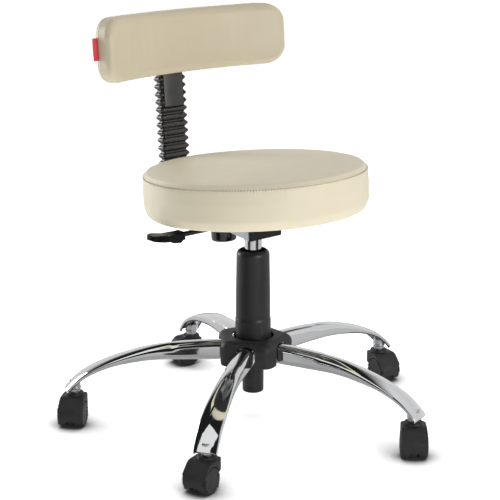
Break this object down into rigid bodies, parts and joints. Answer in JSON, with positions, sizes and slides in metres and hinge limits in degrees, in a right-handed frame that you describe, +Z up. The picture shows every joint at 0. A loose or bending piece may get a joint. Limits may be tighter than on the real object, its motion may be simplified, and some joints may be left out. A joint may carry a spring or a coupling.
{
  "type": "dentist stool",
  "caption": "Height-adjustable dentist stool with a round upholstered seat, a curved back pad on a bellows-covered bar, a gas-lift column and a star base on casters.",
  "frame": {"origin": "on the floor, on the axis of the gas-lift column", "axes": "+Z up, -Y the way the sitter faces, -X the side of the lift lever (the sitter's right)"},
  "size_m": [0.589, 0.618, 0.6521],
  "materials": {
    "arm_chrome": "mirror-polished chrome plating",
    "zinc": "satin zinc plating",
    "bare_steel": "turned bare steel",
    "hub_plastic": "near-black moulded plastic with a fine texture",
    "black_steel": "black powder coat",
    "cover_plastic": "black satin moulded plastic",
    "guide_plastic": "dark grey engineering plastic",
    "rod_chrome": "polished chrome plating",
    "cap_plastic": "glossy black moulded plastic",
    "knob_plastic": "glossy black moulded plastic",
    "lever_plastic": "black moulded plastic with a soft gloss",
    "seat_vinyl": "cream upholstery vinyl with a fine grain and stitched seams",
    "pad_vinyl": "cream upholstery vinyl with a fine grain",
    "foam": "open-cell foam",
    "plywood": "birch plywood stained black",
    "bellows_rubber": "black moulded rubber with a soft sheen",
    "carrier_plastic": "black moulded plastic",
    "hood_plastic": "dark grey moulded nylon",
    "wheel_nylon": "dark grey nylon"
  },
  "bodies": {
    "base": {"arm_1": "arm_chrome", "arm_2": "arm_chrome", "arm_3": "arm_chrome", "arm_4": "arm_chrome", "arm_5": "arm_chrome", "arm_sockets": "zinc", "caster_stems": "bare_steel", "hub_socket": "bare_steel", "hub_cover": "hub_plastic", "column_tube": "black_steel", "column_cover": "cover_plastic", "guide_bush": "guide_plastic", "thrust_bearing": "bare_steel"},
    "gas_rod": {"piston_rod": "bare_steel", "piston": "guide_plastic", "column_clip": "bare_steel"},
    "seat": {"gas_cylinder": "rod_chrome", "cylinder_seal": "guide_plastic", "cone_socket": "zinc", "mechanism_body": "zinc", "mechanism_cap": "cap_plastic", "bar_bracket": "zinc", "seat_cover": "seat_vinyl", "seat_foam": "foam", "seat_board": "plywood", "seat_tnuts": "zinc", "seat_bolts": "zinc"},
    "release_pin": {"release_pin": "bare_steel"},
    "lever": {"lever_rod": "black_steel", "lever_handle": "lever_plastic"},
    "depth_knob": {"depth_knob": "knob_plastic"},
    "bar": {"back_bar": "black_steel", "bellows": "bellows_rubber"},
    "backrest": {"backrest_tongue": "cap_plastic", "backrest_bolts": "bare_steel", "backrest_cover": "pad_vinyl", "backrest_shell": "plywood", "backrest_foam": "foam", "backrest_carrier": "carrier_plastic"},
    "height_knob": {"height_knob": "knob_plastic"},
    "caster_1": {"caster_1_hood": "hood_plastic", "caster_1_axle": "bare_steel"},
    "caster_1_wheel_left": {"caster_1_wheel_left": "wheel_nylon"},
    "caster_1_wheel_right": {"caster_1_wheel_right": "wheel_nylon"},
    "caster_2": {"caster_2_hood": "hood_plastic", "caster_2_axle": "bare_steel"},
    "caster_2_wheel_left": {"caster_2_wheel_left": "wheel_nylon"},
    "caster_2_wheel_right": {"caster_2_wheel_right": "wheel_nylon"},
    "caster_3": {"caster_3_hood": "hood_plastic", "caster_3_axle": "bare_steel"},
    "caster_3_wheel_left": {"caster_3_wheel_left": "wheel_nylon"},
    "caster_3_wheel_right": {"caster_3_wheel_right": "wheel_nylon"},
    "caster_4": {"caster_4_hood": "hood_plastic", "caster_4_axle": "bare_steel"},
    "caster_4_wheel_left": {"caster_4_wheel_left": "wheel_nylon"},
    "caster_4_wheel_right": {"caster_4_wheel_right": "wheel_nylon"},
    "caster_5": {"caster_5_hood": "hood_plastic", "caster_5_axle": "bare_steel"},
    "caster_5_wheel_left": {"caster_5_wheel_left": "wheel_nylon"},
    "caster_5_wheel_right": {"caster_5_wheel_right": "wheel_nylon"}
  },
  "joints": [
    {"name": "seat_swivel", "type": "hinge", "parent": "base", "child": "gas_rod", "pos_m": [0, 0, 0.06], "axis": [0, 0, 1], "continuous": true},
    {"name": "height_lift", "type": "slide", "parent": "gas_rod", "child": "seat", "axis": [0, 0, 1], "range_m": [0, 0.12]},
    {"name": "lever_lift", "type": "hinge", "parent": "seat", "child": "lever", "pos_m": [-0.033, 0, 0.3334], "axis": [0, 1, 0], "range_deg": [0, 3], "stiffness_Nm_per_rad": 40, "springref_deg": -0.57},
    {"name": "release_pin_slide", "type": "slide", "parent": "seat", "child": "release_pin", "axis": [0, 0, -1], "range_m": [0, 0.002]},
    {"name": "back_depth", "type": "slide", "parent": "seat", "child": "bar", "axis": [0, 0.9976, -0.0698], "range_m": [-0.01, 0.025]},
    {"name": "depth_knob_turn", "type": "hinge", "parent": "seat", "child": "depth_knob", "pos_m": [0, 0.07346, 0.29775], "axis": [0, -0.0698, -0.9976], "range_deg": [0, 360]},
    {"name": "back_height", "type": "slide", "parent": "bar", "child": "backrest", "axis": [0, 0.0767, 0.9971], "range_m": [0, 0.045]},
    {"name": "height_knob_turn", "type": "hinge", "parent": "backrest", "child": "height_knob", "pos_m": [0, 0.2389, 0.58478], "axis": [0, 0.9971, -0.0767], "range_deg": [0, 360]},
    {"name": "caster_1_swivel", "type": "hinge", "parent": "base", "child": "caster_1", "pos_m": [0.29, 0, 0.045], "axis": [0, 0, 1], "continuous": true},
    {"name": "caster_1_wheel_left_spin", "type": "hinge", "parent": "caster_1", "child": "caster_1_wheel_left", "pos_m": [0.28705, -0.01674, 0.02], "axis": [0.9848, -0.1736, 0], "continuous": true},
    {"name": "caster_1_wheel_right_spin", "type": "hinge", "parent": "caster_1", "child": "caster_1_wheel_right", "pos_m": [0.28705, -0.01674, 0.02], "axis": [0.9848, -0.1736, 0], "continuous": true},
    {"name": "caster_2_swivel", "type": "hinge", "parent": "base", "child": "caster_2", "pos_m": [0.08962, 0.27581, 0.045], "axis": [0, 0, 1], "continuous": true},
    {"name": "caster_2_wheel_left_spin", "type": "hinge", "parent": "caster_2", "child": "caster_2_wheel_left", "pos_m": [0.07266, 0.27699, 0.02], "axis": [-0.0698, -0.9976, 0], "continuous": true},
    {"name": "caster_2_wheel_right_spin", "type": "hinge", "parent": "caster_2", "child": "caster_2_wheel_right", "pos_m": [0.07266, 0.27699, 0.02], "axis": [-0.0698, -0.9976, 0], "continuous": true},
    {"name": "caster_3_swivel", "type": "hinge", "parent": "base", "child": "caster_3", "pos_m": [-0.23461, 0.17046, 0.045], "axis": [0, 0, 1], "continuous": true},
    {"name": "caster_3_wheel_left_spin", "type": "hinge", "parent": "caster_3", "child": "caster_3_wheel_left", "pos_m": [-0.24744, 0.15931, 0.02], "axis": [0.6561, -0.7547, 0], "continuous": true},
    {"name": "caster_3_wheel_right_spin", "type": "hinge", "parent": "caster_3", "child": "caster_3_wheel_right", "pos_m": [-0.24744, 0.15931, 0.02], "axis": [0.6561, -0.7547, 0], "continuous": true},
    {"name": "caster_4_swivel", "type": "hinge", "parent": "base", "child": "caster_4", "pos_m": [-0.23461, -0.17046, 0.045], "axis": [0, 0, 1], "continuous": true},
    {"name": "caster_4_wheel_left_spin", "type": "hinge", "parent": "caster_4", "child": "caster_4_wheel_left", "pos_m": [-0.25069, -0.17599, 0.02], "axis": [0.3256, -0.9455, 0], "continuous": true},
    {"name": "caster_4_wheel_right_spin", "type": "hinge", "parent": "caster_4", "child": "caster_4_wheel_right", "pos_m": [-0.25069, -0.17599, 0.02], "axis": [0.3256, -0.9455, 0], "continuous": true},
    {"name": "caster_5_swivel", "type": "hinge", "parent": "base", "child": "caster_5", "pos_m": [0.08962, -0.27581, 0.045], "axis": [0, 0, 1], "continuous": true},
    {"name": "caster_5_wheel_left_spin", "type": "hinge", "parent": "caster_5", "child": "caster_5_wheel_left", "pos_m": [0.07846, -0.28864, 0.02], "axis": [0.7547, -0.6561, 0], "continuous": true},
    {"name": "caster_5_wheel_right_spin", "type": "hinge", "parent": "caster_5", "child": "caster_5_wheel_right", "pos_m": [0.07846, -0.28864, 0.02], "axis": [0.7547, -0.6561, 0], "continuous": true}
  ],
  "couplings": [
    {"joint": "release_pin_slide", "follows": "lever_lift", "m_per_rad": 0.037}
  ]
}
